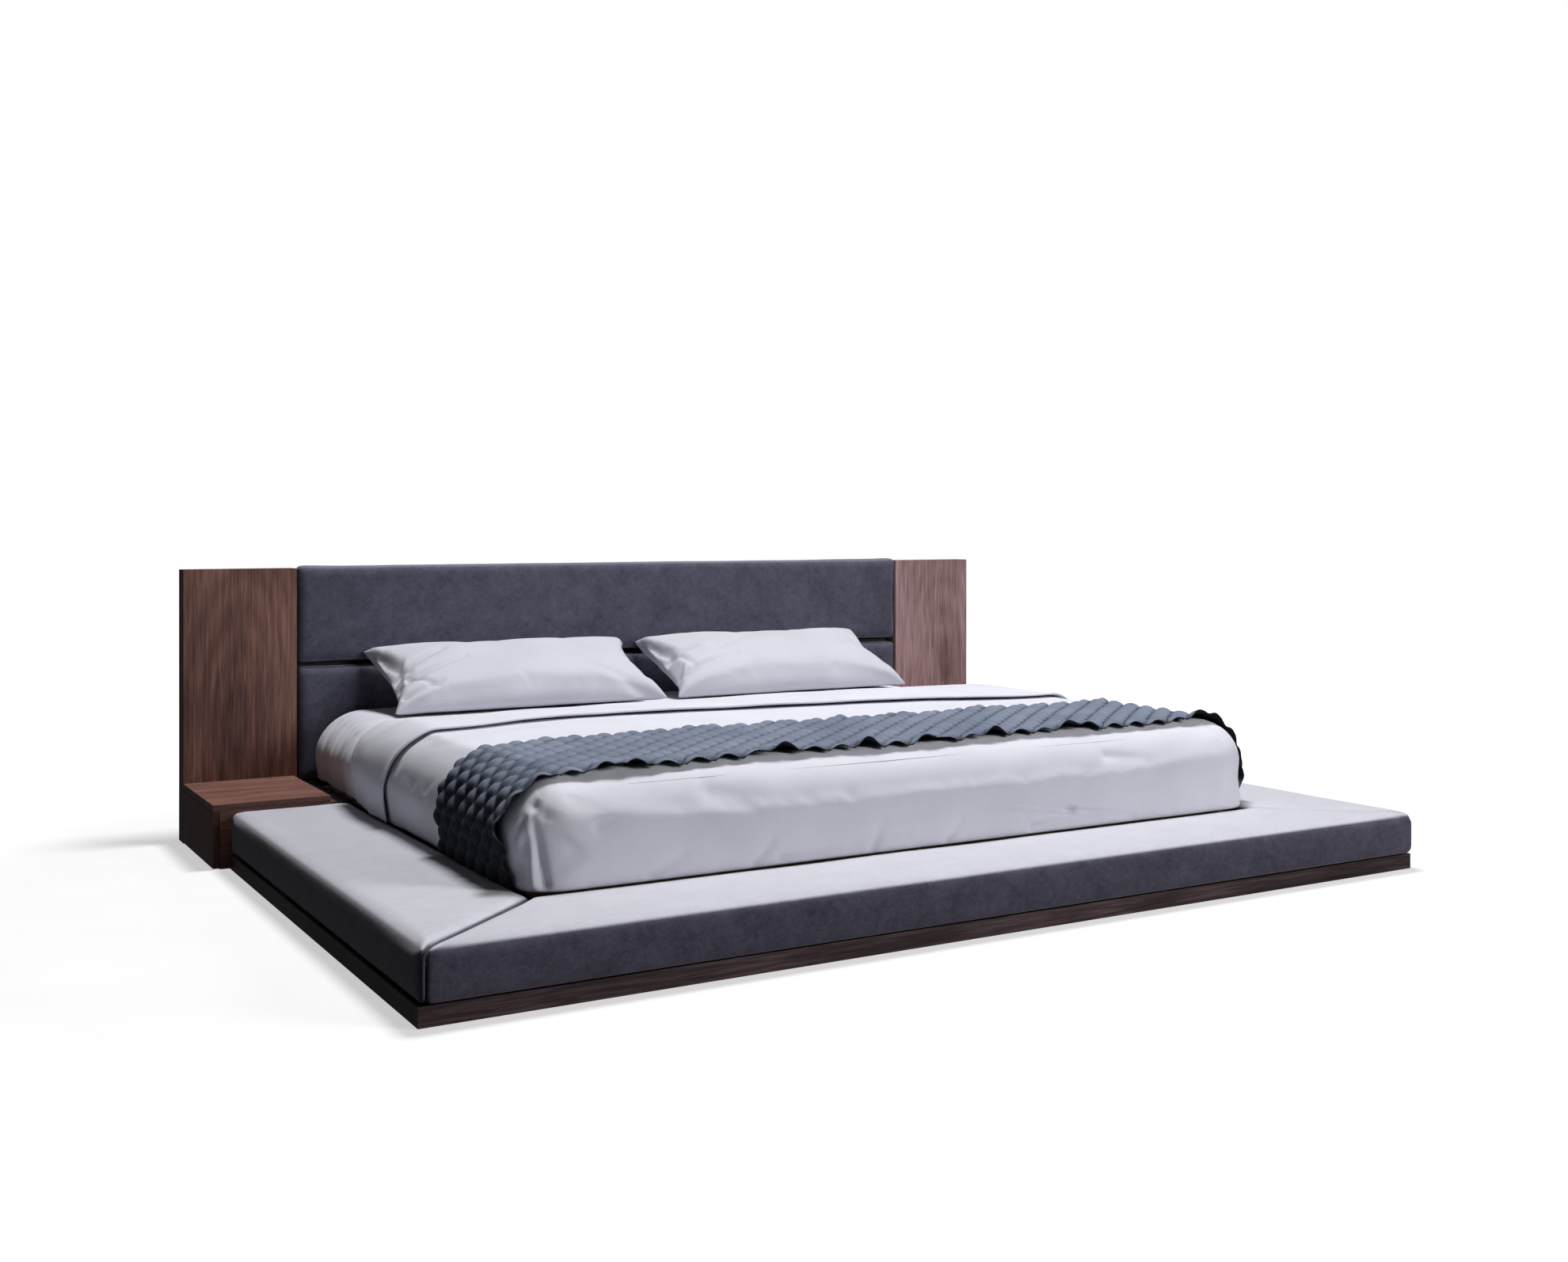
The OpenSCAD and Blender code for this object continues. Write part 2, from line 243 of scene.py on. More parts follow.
def wood(name, axis, dark, middle, light, seed, heart=None):
    """Veneer with its grain along an axis: streaks, open pores and long loops about a heart."""
    s = Surface(name, roughness=0.45, specular=0.3)
    shift = (seed * 1.7, seed * 2.3, seed * 0.9)
    flow = s.noise(s.place(grain_scale(axis, 1.0, 0.20), shift=shift), 4.2, 2.0, 0.45, 0.3)
    field = s.maths("MULTIPLY", flow, 7.0)
    heart_tone = 0.0
    if heart is not None:
        from_heart = s.distance(s.place(grain_scale(axis, 1.0, 0.34)), heart)
        field = s.maths("ADD", field, s.maths("MULTIPLY", from_heart, 46.0))
        heart_tone = s.maths("MULTIPLY", s.falloff(from_heart, 0.0, 0.09), 0.10)
    rings = s.maths("PINGPONG", field, 1.0)
    streaks = s.noise(s.place(grain_scale(axis, 1.0, 0.040), shift=shift), 105.0, 5.0, 0.66, 0.35)
    bands = s.noise(s.place(grain_scale(axis, 1.0, 0.05), shift=shift), 15.0, 3.0, 0.5, 0.2)
    pores = s.noise(s.place(grain_scale(axis, 1.0, 0.022), shift=shift), 420.0, 2.0, 0.6)
    clouds = s.noise(s.place(grain_scale(axis, 1.0, 0.6), shift=shift), 3.6, 3.0)
    tone = s.maths("ADD", s.maths("MULTIPLY", rings, 0.07), s.maths("MULTIPLY", streaks, 0.62))
    tone = s.maths("ADD", tone, s.maths("MULTIPLY", bands, 0.26))
    tone = s.maths("ADD", tone, s.maths("MULTIPLY", s.maths("SUBTRACT", clouds, 0.5), 0.42))
    tone = s.maths("SUBTRACT", tone, heart_tone)
    colour = s.ramp(tone, [(0.27, dark), (0.47, middle), (0.70, light)])
    pore_mask = s.ramp(pores, [(0.36, (0, 0, 0)), (0.5, (1, 1, 1))])
    s.colour(s.mix(0.4, colour, s.mix(1.0, colour, pore_mask, "MULTIPLY")))
    s.roughness(streaks, 0.38, 0.55)
    s.bump(pore_mask, 0.0003, 0.35)
    return s.material


def suede(name, wall_dark, wall_light, top_dark, top_light):
    """Short-napped upholstery, cloudy as if brushed. Its tops are painted paler than its walls: painted
    top light.
    """
    s = Surface(name, roughness=0.9, sheen=0.35, specular=0.15)
    everywhere = s.place((1, 1, 1))
    clouds = s.noise(everywhere, 11.0, 6.0, 0.7, 0.3)
    blotches = s.noise(everywhere, 60.0, 5.0, 0.7)
    nap = s.noise(everywhere, 300.0, 3.0, 0.75)
    tone = s.maths("ADD", s.maths("MULTIPLY", clouds, 0.36), s.maths("MULTIPLY", blotches, 0.30))
    tone = s.maths("ADD", tone, s.maths("MULTIPLY", nap, 0.34))
    walls = s.ramp(tone, [(0.33, wall_dark), (0.62, wall_light)])
    # painted top light: the tops' colours are paler than the walls', chosen by the surface's own normal
    tops = s.ramp(tone, [(0.35, top_dark), (0.65, top_light)])
    s.colour(s.mix(s.facing_up(0.50, 0.88), walls, tops))
    s.roughness(blotches, 0.8, 0.95)
    grain = s.bump(blotches, 0.0012, 0.25)
    s.bump(nap, 0.0006, 0.5, over=grain)
    return s.material


def woven(name, shade, light, sheen=0.15, thread=1400.0, weave=0.00025, stitched=None,
          painted_wall_shade=None):
    """Plain-woven cotton with faint slubs.

    stitched paints shade into it where the mesh's own loft is low, in the quilting's valleys, and
    painted_wall_shade paints shade on its walls.
    """
    s = Surface(name, roughness=0.85, sheen=sheen, specular=0.2)
    everywhere = s.place((1, 1, 1))
    clouds = s.noise(everywhere, 5.0, 4.0, 0.55)
    slubs = s.noise(s.place((1, 14, 14)), 60.0, 2.0)
    warp = s.waves(everywhere, "X", thread / 8)
    weft = s.waves(everywhere, "Y", thread / 8)
    tone = s.maths("ADD", s.maths("MULTIPLY", clouds, 0.7), s.maths("MULTIPLY", slubs, 0.3))
    colour = s.ramp(tone, [(0.3, shade), (0.7, light)])
    if stitched is not None:
        # painted shade: the colour goes darker where the loft is low, in the valleys between the puffs
        valley_shade_colour, (low, high) = stitched
        loft = s.tree.nodes.new("ShaderNodeAttribute")
        loft.attribute_name = "loft"
        colour = s.mix(s.falloff(loft.outputs["Fac"], low, high), colour, valley_shade_colour)
    # painted shade: the walls are made darker than the tops, by the surface's own normal
    if painted_wall_shade is not None:
        darker = s.mix(1.0, colour, (painted_wall_shade, painted_wall_shade * 1.05, painted_wall_shade * 1.2), "MULTIPLY")
        colour = s.mix(s.facing_up(0.0, 0.97), darker, colour)
    s.colour(colour)
    s.roughness(slubs, 0.78, 0.92)
    threads = s.bump(s.maths("ADD", warp, weft), weave, 0.4)
    s.bump(s.noise(everywhere, 26.0, 4.0, 0.6), 0.004, 0.16, over=threads)
    return s.material


def brushed_metal(name, colour, roughness):
    s = Surface(name, roughness=roughness, specular=0.5, metallic=1.0)
    lines = s.noise(s.place((1, 1, 0.05)), 300.0, 2.0)
    base = tuple(c * 0.82 for c in colour)
    s.colour(s.ramp(lines, [(0.3, base), (0.7, colour)]))
    s.roughness(lines, roughness - 0.08, roughness + 0.12)
    s.bump(lines, 0.0001, 0.3)
    return s.material


def moulded(name, colour, roughness):
    """Moulded plastic, rubber or powder coat: a fine even texture."""
    s = Surface(name, roughness=roughness, specular=0.4)
    grain = s.noise(s.place((1, 1, 1)), 700.0, 2.0)
    lighter = tuple(min(1, c * 1.35 + 0.004) for c in colour)
    s.colour(s.ramp(grain, [(0.3, colour), (0.75, lighter)]))
    s.roughness(grain, roughness - 0.06, roughness + 0.06)
    s.bump(grain, 0.0002, 0.3)
    return s.material


WALNUT = ((0.040, 0.014, 0.011), (0.145, 0.062, 0.048), (0.310, 0.152, 0.116))
# painted top light: the table slabs get a paler copy of the walnut
PAINTED_LIT_SLAB_WALNUT = ((0.070, 0.028, 0.022), (0.190, 0.090, 0.070), (0.330, 0.180, 0.145))
# painted light: the right wing and its drawer front get a paler copy of the walnut, for the brighter
# light on the right
PAINTED_LIT_WALNUT = ((0.130, 0.068, 0.066), (0.310, 0.178, 0.180), (0.500, 0.345, 0.350))
DARK_WALNUT = ((0.012, 0.006, 0.007), (0.055, 0.031, 0.033), (0.190, 0.125, 0.130))
# painted shade: near black, standing in for the dark gaps where these frame boards show
PAINTED_SHADE_BOARD = ((0.004, 0.004, 0.004), (0.006, 0.006, 0.007), (0.010, 0.010, 0.011))
PLY = ((0.36, 0.24, 0.14), (0.56, 0.42, 0.27), (0.70, 0.56, 0.38))

# painted top light: each suede's last two colours are its tops', paler than its walls'
SUEDE = suede("slate_suede", (0.024, 0.024, 0.041), (0.112, 0.104, 0.148),
              (0.445, 0.445, 0.504), (0.554, 0.554, 0.613))
HEADBOARD_SUEDE = suede("headboard_suede", (0.030, 0.031, 0.050), (0.100, 0.100, 0.142),
                        (0.10, 0.10, 0.14), (0.16, 0.16, 0.21))
LINEN = woven("linen", (0.58, 0.58, 0.65), (0.66, 0.66, 0.73))
# painted shade: the quilt's valleys and walls are darkened in its colour
QUILT_TOP = woven("quilt_cotton", (0.115, 0.140, 0.195), (0.205, 0.233, 0.300), sheen=0.0,
                  stitched=((0.012, 0.016, 0.027), (0.0, 0.62)), painted_wall_shade=0.09)
PILLOW_COTTON = woven("pillow_cotton", (0.44, 0.44, 0.495), (0.50, 0.50, 0.555))
TICKING = woven("ticking", (0.62, 0.62, 0.64), (0.78, 0.78, 0.79), thread=900.0)


def dress_wood():
    """Gives each wooden CAD node its veneer or board, with the grain along its length."""
    recipes = {
        "walnut_upright": (WALNUT, "Z", ["wing_left", "drawer_front_left"], 1.0, (-1.29, 1.14, 0.125)),
        "walnut_upright_right": (PAINTED_LIT_WALNUT, "Z", ["wing_right", "drawer_front_right"], 1.6,
                                 (1.33, 1.14, 0.15)),
        "walnut_slab": (PAINTED_LIT_SLAB_WALNUT, "X", ["table_top_left", "table_top_right"], 2.9, None),
        "walnut_across": (WALNUT, "X", ["table_front_left", "table_front_right"], 2.7, None),
        "walnut_along": (WALNUT, "Y", ["table_inner_left", "table_inner_right"], 3.3, None),
        "dark_across": (DARK_WALNUT, "X", ["plinth_front"], 4.2, None),
        "dark_along": (DARK_WALNUT, "Y", ["plinth_left", "plinth_right"], 5.1, None),
        # painted shade: the boards in the frame's dark gaps are near black
        "black_board": (PAINTED_SHADE_BOARD, "X", ["ledge_front", "ledge_left", "ledge_right", "rail_foot",
                                           "rail_head", "headboard_back"], 5.8, None),
        "painted_shade_board_along": (PAINTED_SHADE_BOARD, "Y", ["rail_left", "rail_right", "ledger_left",
                                                 "ledger_right", "table_cap_left",
                                                 "table_cap_right"], 5.9, None),
        "board_across": (PLY, "X", ["headboard_battens", "slats_left", "slats_right",
                                    "drawer_bottom_left", "drawer_bottom_right",
                                    "table_bottom_left", "table_bottom_right",
                                    "drawer_box_left", "drawer_box_right"], 6.4, None),
        "board_along": (PLY, "Y", ["ledge_bearers", "centre_beam"], 7.7, None),
        "board_upright": (PLY, "Z", ["headboard_posts"], 8.2, None),
    }
    for name, (tones, axis, nodes, seed, heart) in recipes.items():
        material = wood(name, axis, *tones, seed, heart=heart)
        for node in nodes:
            dress(node, material, 0.0012)


def dress(node, material, edge):
    """A CAD node keeps its shape: it gets a material and slightly eased edges."""
    piece = NODE[node]
    piece.data.materials.clear()
    piece.data.materials.append(material)
    bevel = piece.modifiers.new("eased_edges", "BEVEL")
    bevel.width = edge
    bevel.segments = 2
    bevel.limit_method = "ANGLE"
    bevel.harden_normals = True


def dress_hardware():
    steel = brushed_metal("zinc_steel", (0.62, 0.63, 0.65), 0.34)
    for node in ("corner_brackets", "bracket_screws", "rail_bolts", "wing_brackets",
                 "slide_fixed_left", "slide_fixed_right", "slide_moving_left", "slide_moving_right"):
        dress(node, steel, 0.0005)
    dress("centre_legs", moulded("powder_coat", (0.10, 0.10, 0.11), 0.45), 0.0005)
    plastic = moulded("black_plastic", (0.012, 0.012, 0.014), 0.5)
    for node in ("slat_end_caps", "push_latches"):
        dress(node, plastic, 0.0005)
    dress("leg_feet", moulded("rubber", (0.014, 0.014, 0.014), 0.75), 0.0008)


# ---------------------------------------------------------------- mesh helpers

def new_piece(name, vertices, faces, material):
    mesh = bpy.data.meshes.new(name)
    mesh.from_pydata([tuple(v) for v in vertices], [], faces)
    mesh.polygons.foreach_set("use_smooth", [True] * len(mesh.polygons))
    mesh.materials.append(material)
    mesh.update()
    piece = bpy.data.objects.new(name, mesh)
    scene.collection.objects.link(piece)
    return piece


def get_points(piece):
    flat = np.empty(len(piece.data.vertices) * 3)
    piece.data.vertices.foreach_get("co", flat)
    return flat.reshape(-1, 3)


def set_points(piece, points):
    piece.data.vertices.foreach_set("co", np.asarray(points, float).ravel())
    piece.data.update()


def rounded_box(lo, hi, radius, step, open_sides=()):
    """Points and quads of a box with rounded edges, in even squares. open_sides names faces left out."""
    lo, hi = np.array(lo, float), np.array(hi, float)
    counts = [max(2, int(round((hi[k] - lo[k]) / step))) for k in range(3)]
    index, points, faces = {}, [], []

    def point_at(key):
        if key not in index:
            index[key] = len(points)
            points.append(lo + (hi - lo) * np.array([key[k] / counts[k] for k in range(3)]))
        return index[key]

    for axis in range(3):
        u, v = (axis + 1) % 3, (axis + 2) % 3
        for end in (0, 1):
            if "-+"[end] + "xyz"[axis] in open_sides:
                continue
            for i in range(counts[u]):
                for j in range(counts[v]):
                    quad = []
                    for du, dv in ((0, 0), (1, 0), (1, 1), (0, 1)):
                        key = [0, 0, 0]
                        key[axis], key[u], key[v] = end * counts[axis], i + du, j + dv
                        quad.append(point_at(tuple(key)))
                    faces.append(quad if end else quad[::-1])
    points = np.array(points)
    closed_lo = np.array([0.0 if "-" + a in open_sides else radius for a in "xyz"])
    closed_hi = np.array([0.0 if "+" + a in open_sides else radius for a in "xyz"])
    core = np.clip(points, lo + closed_lo, hi - closed_hi)
    away = points - core
    length = np.linalg.norm(away, axis=1, keepdims=True)
    reach = np.where(length > 1e-9, radius / np.maximum(length, 1e-9), 0)
    return core + away * np.minimum(reach, 1.0), faces


def wobble(points, scale, seed):
    """Smooth noise from -1 to 1 at each point."""
    offset = Vector((seed * 3.1, seed * 1.7, seed * 5.3))
    return np.array([noise.noise(Vector(p) * scale + offset) for p in points])


def normals_of(piece):
    flat = np.empty(len(piece.data.vertices) * 3)
    piece.data.vertices.foreach_get("normal", flat)
    return flat.reshape(-1, 3)


def swell(piece, amount):
    """Moves each point along its own normal by amount, one number a point."""
    set_points(piece, get_points(piece) + normals_of(piece) * np.asarray(amount)[:, None])


def apply_modifiers(piece):
    graph = bpy.context.evaluated_depsgraph_get()
    mesh = bpy.data.meshes.new_from_object(piece.evaluated_get(graph))
    piece.modifiers.clear()
    piece.data = mesh


def refine(piece):
    """One level of subdivision, which rounds the mesh."""
    modifier = piece.modifiers.new("refine", "SUBSURF")
    modifier.levels = modifier.render_levels = 1


def puff(piece, pressure, cap, frames=14, shrink=0.0, stiffness=12.0, bending=0.4, pinned=None):
    """Fills a closed cloth with air for a few frames. No point ends further than cap from its start."""
    start = get_points(piece)
    cloth = piece.modifiers.new("cloth", "CLOTH")
    settings = cloth.settings
    settings.quality = 4
    settings.mass = 0.3
    settings.tension_stiffness = settings.compression_stiffness = stiffness
    settings.shear_stiffness = stiffness / 3
    settings.bending_stiffness = bending
    settings.use_pressure = True
    settings.uniform_pressure_force = pressure
    settings.shrink_min = shrink
    settings.effector_weights.gravity = 0
    cloth.collision_settings.use_collision = False
    cloth.point_cache.frame_end = frames
    if pinned is not None:
        group = piece.vertex_groups.new(name="pinned")
        group.add([int(i) for i in np.nonzero(pinned)[0]], 1.0, "REPLACE")
        settings.vertex_group_mass = "pinned"
    for number in range(1, frames + 1):
        scene.frame_set(number)
    graph = bpy.context.evaluated_depsgraph_get()
    result = piece.evaluated_get(graph).to_mesh()
    flat = np.empty(len(result.vertices) * 3)
    result.vertices.foreach_get("co", flat)
    moved = flat.reshape(-1, 3) - start
    piece.evaluated_get(graph).to_mesh_clear()
    piece.modifiers.remove(cloth)
    length = np.linalg.norm(moved, axis=1, keepdims=True)
    set_points(piece, start + moved * np.minimum(1.0, cap / np.maximum(length, 1e-9)))
    scene.frame_set(1)


# ---------------------------------------------------------------- upholstery

PAD_EDGE = 0.016
PAD_STEP = 0.0145
PAD_SEAM = 0.0015
CUSHION_EDGE = 0.014
CUSHION_STEP = 0.018


def add_pad(name, mitre):
    """A firm platform pad: softly rounded, slightly crowned, with its ends cut to mitre(points)."""
    lo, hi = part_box(name)
    inset = Vector((PAD_SEAM, PAD_SEAM, 0.0))
    points, faces = rounded_box(lo + inset, hi - inset, PAD_EDGE, PAD_STEP)
    low = points[:, 2] < lo.z + PAD_EDGE
    points[low, 2] = lo.z + (points[low, 2] - lo.z) * 0.45
    piece = new_piece(name + "_upholstery", mitre(points, lo, hi), faces, SUEDE)
    on_board = get_points(piece)[:, 2] < lo.z + 0.004
    puff(piece, pressure=2.0, cap=0.0035, frames=8, stiffness=25, pinned=on_board)
    dents = wobble(get_points(piece), 4.0, 1.0) * 0.0012
    swell(piece, np.where(on_board, 0.0, dents))
    refine(piece)
    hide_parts(name)
    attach(piece, "frame")


def mitre_front(points, lo, hi):
    """Both ends of the foot pad run in at 45 degrees from its outer edge."""
    half = (hi.x - lo.x) / 2
    narrow = (points[:, 1] - lo.y) / half
    points = points.copy()
    points[:, 0] *= 1 - narrow
    return points


def mitre_side(points, lo, hi):
    """The foot end of a side pad runs back at 45 degrees from its outer edge."""
    outer = hi.x if hi.x > -lo.x else lo.x
    run_back = np.abs(outer - points[:, 0])
    along = (hi.y - points[:, 1]) / (hi.y - lo.y)
    points = points.copy()
    points[:, 1] += along * run_back
    return points


def add_corner_welt(name, side):
    """The narrow rolled strip beside the mitre, on the side pad's face at the foot corner."""
    lo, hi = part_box("pad_front")
    radius, sides, rows = 0.0036, 10, 26
    top = hi.z - 0.014
    vertices = []
    for i in range(rows + 1):
        t = i / rows
        turn = max(0.0, (t - 0.85) / 0.15)
        centre = Vector((side * (hi.x - 0.0085 - 0.008 * turn ** 2), lo.y + 0.0115, 0))
        height = lo.z + 0.008 + (top - lo.z - 0.008) * t
        slim = 0.35 + 0.65 * min(1.0, 8 * t, 6 * (1 - t))
        for k in range(sides):
            angle = 2 * math.pi * k / sides
            vertices.append((centre.x + radius * slim * math.cos(angle),
                             centre.y + radius * slim * math.sin(angle), height))
    faces = [[i * sides + k, i * sides + (k + 1) % sides, (i + 1) * sides + (k + 1) % sides,
              (i + 1) * sides + k] for i in range(rows) for k in range(sides)]
    faces += [list(range(sides))[::-1], [rows * sides + k for k in range(sides)]]
    piece = new_piece(name, vertices, faces, HEADBOARD_SUEDE)
    refine(piece)
    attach(piece, "frame")


def add_cushion(name):
    """A headboard cushion: a flat face with rounded edges that are drawn back to the board."""
    lo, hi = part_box(name)
    points, faces = rounded_box(lo, hi, CUSHION_EDGE, CUSHION_STEP)
    piece = new_piece(name + "_upholstery", points, faces, HEADBOARD_SUEDE)
    at_back = get_points(piece)[:, 1] > hi.y - 0.004
    puff(piece, pressure=2.0, cap=0.004, frames=8, stiffness=25, pinned=at_back)
    swell(piece, np.where(at_back, 0.0, wobble(get_points(piece), 5.0, 2.0) * 0.0012))
    refine(piece)
    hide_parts(name)
    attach(piece, "frame")


# ---------------------------------------------------------------- bedding

MATTRESS_EDGE = 0.098
MATTRESS_STEP = 0.034
TUFT_SPACING = 0.22


def add_mattress():
    """The mattress in its ticking, with rounded edges and shallow tufts on top."""
    lo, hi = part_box("mattress")
    points, faces = rounded_box(lo, hi, MATTRESS_EDGE, MATTRESS_STEP)
    piece = new_piece("mattress_cover", points, faces, TICKING)
    p = get_points(piece)
    on_top = p[:, 2] > hi.z - 0.01
    tufts = np.abs(np.sin(p[:, 0] * math.pi / TUFT_SPACING)
                   * np.sin(p[:, 1] * math.pi / TUFT_SPACING))
    swell(piece, np.where(on_top, -0.006 * (1 - tufts) ** 3, 0.0))
    refine(piece)
    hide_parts("mattress")
    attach(piece, "mattress_body")


def smooth(x, low, high):
    t = np.clip((x - low) / (high - low), 0, 1)
    return t * t * (3 - 2 * t)


def lines_depth(points, lines):
    """How deep each point (x, y) lies in a set of creases."""
    depth = np.zeros(len(points))
    for start, end, deep, width in lines:
        start, run = np.array(start), np.array(end) - np.array(start)
        t = np.clip(((points - start) @ run) / (run @ run), 0, 1)
        far = np.linalg.norm(points - start - t[:, None] * run, axis=1)
        depth += deep * (1 - 0.75 * t) * np.exp(-((far / width) ** 2))
    return depth


SHEET_EDGE = 0.150
SHEET_STEP = 0.0125
SHEET_THICK = 0.0014

# Loose upright creases on the sheet's sides by the headboard: start and end as (y, z), depth and width.
SHEET_CREASES = [
    ((1.060, 0.350), (1.015, 0.200), 0.012, 0.013),
    ((0.985, 0.345), (0.990, 0.230), 0.010, 0.014),
    ((0.920, 0.350), (0.880, 0.210), 0.013, 0.013),
    ((0.850, 0.340), (0.845, 0.260), 0.009, 0.014),
    ((0.780, 0.335), (0.800, 0.220), 0.011, 0.014),
    ((0.700, 0.340), (0.670, 0.240), 0.009, 0.015),
]


def add_flat_sheet():
    """The bottom sheet, hanging in loose upright folds down both sides of the mattress."""
    lo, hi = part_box("flat_sheet")
    points, faces = rounded_box(lo, hi, SHEET_EDGE, SHEET_STEP, open_sides=("-z", "-y", "+y"))
    piece = new_piece("bottom_sheet", points, faces, LINEN)
    p = get_points(piece)
    depth = np.clip((hi.z - p[:, 2]) / (hi.z - lo.z), 0, 1)
    wall = smooth(np.abs(p[:, 0]), hi.x - 0.11, hi.x - 0.01)
    bare = smooth(p[:, 1], 0.52, 0.62)
    along = np.stack([p[:, 1], np.sign(p[:, 0]) * 3.0, p[:, 2] * 0.22], axis=1)
    folds = wobble(along, 8.0, 4.0) * 0.010 + wobble(along, 19.0, 5.0) * 0.0055
    tuck = -0.010 * smooth(depth, 0.5, 1.0)
    reach = 0.012 * smooth(p[:, 1], 1.10, 0.62)
    flat = wobble(p, 3.0, 6.0) * 0.0016
    beside = p[:, [1, 2]] - np.array([0.03, 0.0]) * (p[:, 0] > 0)[:, None]
    creases = lines_depth(beside, SHEET_CREASES)
    hanging = (folds * depth + tuck + reach - creases) * wall + flat * (1 - wall)
    swell(piece, hanging * bare - 0.012 * (1 - bare) * wall - 0.0018)
    thick = piece.modifiers.new("thick", "SOLIDIFY")
    thick.thickness = SHEET_THICK
    apply_modifiers(piece)
    refine(piece)
    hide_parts("flat_sheet")
    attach(piece, "mattress_body")


# Soft creases on the duvet's foot face: start and end as (x, z), depth and width.
FOOT_CREASES = [
    ((-0.90, 0.300), (-0.84, 0.310), 0.0072, 0.016),
    ((0.42, 0.213), (0.14, 0.255), 0.0108, 0.008),
    ((0.40, 0.215), (0.62, 0.183), 0.0135, 0.008),
    ((0.28, 0.180), (0.50, 0.200), 0.0108, 0.011),
    ((-0.78, 0.172), (-0.70, 0.215), 0.0090, 0.012),
    ((-0.52, 0.172), (-0.47, 0.225), 0.0081, 0.012),
    ((-0.20, 0.172), (-0.17, 0.235), 0.0081, 0.013),
    ((0.02, 0.172), (0.06, 0.220), 0.0081, 0.012),
    ((0.55, 0.345), (0.68, 0.330), 0.0054, 0.014),
    ((-0.62, 0.350), (-0.50, 0.330), 0.0072, 0.025),
    ((-0.45, 0.175), (-0.10, 0.195), 0.0072, 0.014),
]

DUVET_EDGE = 0.120
DUVET_STEP = 0.0130
DUVET_SHELL = 0.012
FOLD_SHELL = 0.0075

# The pleat at the near foot corner and the folds about it: distance round the corner, and height.
CORNER_CREASES = [
    ((0.080, 0.180), (0.099, 0.318), -0.011, 0.0070),
    ((0.060, 0.182), (0.086, 0.312), 0.016, 0.0120),
    ((0.092, 0.352), (0.086, 0.368), 0.009, 0.0160),
    ((0.112, 0.322), (0.146, 0.262), 0.006, 0.0075),
    ((0.060, 0.330), (0.030, 0.322), 0.006, 0.0140),
    ((0.125, 0.200), (0.140, 0.290), 0.004, 0.0120),
]


def crease_duvet(piece, lo, hi):
    """Presses the creases, and raises the corner's pleat, in the duvet's outer cover only."""
    p, normals = get_points(piece), normals_of(piece)
    inner_lo = np.array([lo.x + DUVET_EDGE, lo.y + DUVET_EDGE, -1.0])
    inner_hi = np.array([hi.x - DUVET_EDGE, 9.0, hi.z - DUVET_EDGE])
    away = p - np.clip(p, inner_lo, inner_hi)
    outer = (normals * away).sum(axis=1) > 0.2 * np.linalg.norm(away, axis=1)
    foot = smooth(-p[:, 1], -lo.y - 0.10, -lo.y - 0.02)
    depth = lines_depth(p[:, [0, 2]], FOOT_CREASES) * foot
    round_corner = DUVET_EDGE * np.arctan2(inner_lo[0] - p[:, 0], inner_lo[1] - p[:, 1])
    near = (p[:, 0] < inner_lo[0] + 0.10) & (p[:, 1] < inner_lo[1])
    corner = np.stack([np.where(near, round_corner, 9.0), p[:, 2]], axis=1)
    depth += lines_depth(corner, CORNER_CREASES)
    set_points(piece, p - normals * (depth * outer)[:, None])


def add_duvet():
    """A filled duvet: a rounded tray whose hem is tucked in at the sides and stands out at the foot."""
    lo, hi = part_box("duvet")
    points, faces = rounded_box(lo, hi, DUVET_EDGE, DUVET_STEP, open_sides=("-z", "+y"))
    piece = new_piece("duvet_filled", points, faces, LINEN)
    p = get_points(piece)
    height = np.clip((p[:, 2] - lo.z) / (hi.z - lo.z), 0, 1)
    foot = smooth(-p[:, 1], -lo.y - 0.10, -lo.y - 0.01)
    side = smooth(np.abs(p[:, 0]), hi.x - 0.10, hi.x - 0.01)
    walls = np.maximum(foot, side)
    tuck = (0.010 * foot - 0.015 * (1 - foot)) * (1 - smooth(height, 0.0, 0.5))
    swags = wobble(p * np.array([1.0, 1.0, 0.45]), 4.2, 8.0) * 0.005
    folds = wobble(p * np.array([1.0, 1.0, 0.3]), 13.0, 9.0) * (0.0016 + 0.0034 * side)
    quiet = wobble(p, 2.3, 7.0) * 0.003 + wobble(p, 8.0, 3.0) * 0.0012
    swags = swags * (0.2 + 0.6 * (1 - height)) * (1 - 0.5 * foot)
    shape = walls * (tuck + swags + folds * (1 - height) ** 2)
    shape += quiet * (1 - 0.7 * walls) - 0.004
    slack = smooth(p[:, 1], hi.y - 0.30, hi.y)
    crown = 0.005 * (1 - smooth(np.abs(p[:, 0]), 0.5, 0.95)) * smooth(p[:, 1], lo.y + 0.1, lo.y + 0.4)
    swell(piece, shape + crown - 0.017 * slack)
    p = get_points(piece)
    p[:, 1] += 0.006 * wobble(p * np.array([1.0, 0, 0]), 4.0, 2.0) * slack
    set_points(piece, p)
    thick = piece.modifiers.new("thick", "SOLIDIFY")
    thick.thickness = DUVET_SHELL
    thick.offset = -1
    apply_modifiers(piece)
    hem = get_points(piece)[:, 2] < lo.z + 0.01
    puff(piece, pressure=1.6, cap=0.005, frames=12, shrink=-0.005, stiffness=12, bending=0.6, pinned=hem)
    refine(piece)
    apply_modifiers(piece)
    crease_duvet(piece, lo, hi)
    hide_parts("duvet")
    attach(piece, "duvet_body")
    return piece


def path_point(run, hi, edge):
    """Reach, height and outward direction at a distance from the middle, down over one side."""
    flat_half, arc = hi.x - edge, edge * math.pi / 2
    if run < flat_half:
        return run, hi.z, 0.0, 1.0
    if run < flat_half + arc:
        angle = (run - flat_half) / edge
        nx, nz = math.sin(angle), math.cos(angle)
        return flat_half + edge * nx, hi.z - edge + edge * nz, nx, nz
    return hi.x, hi.z - edge - (run - flat_half - arc), 1.0, 0.0


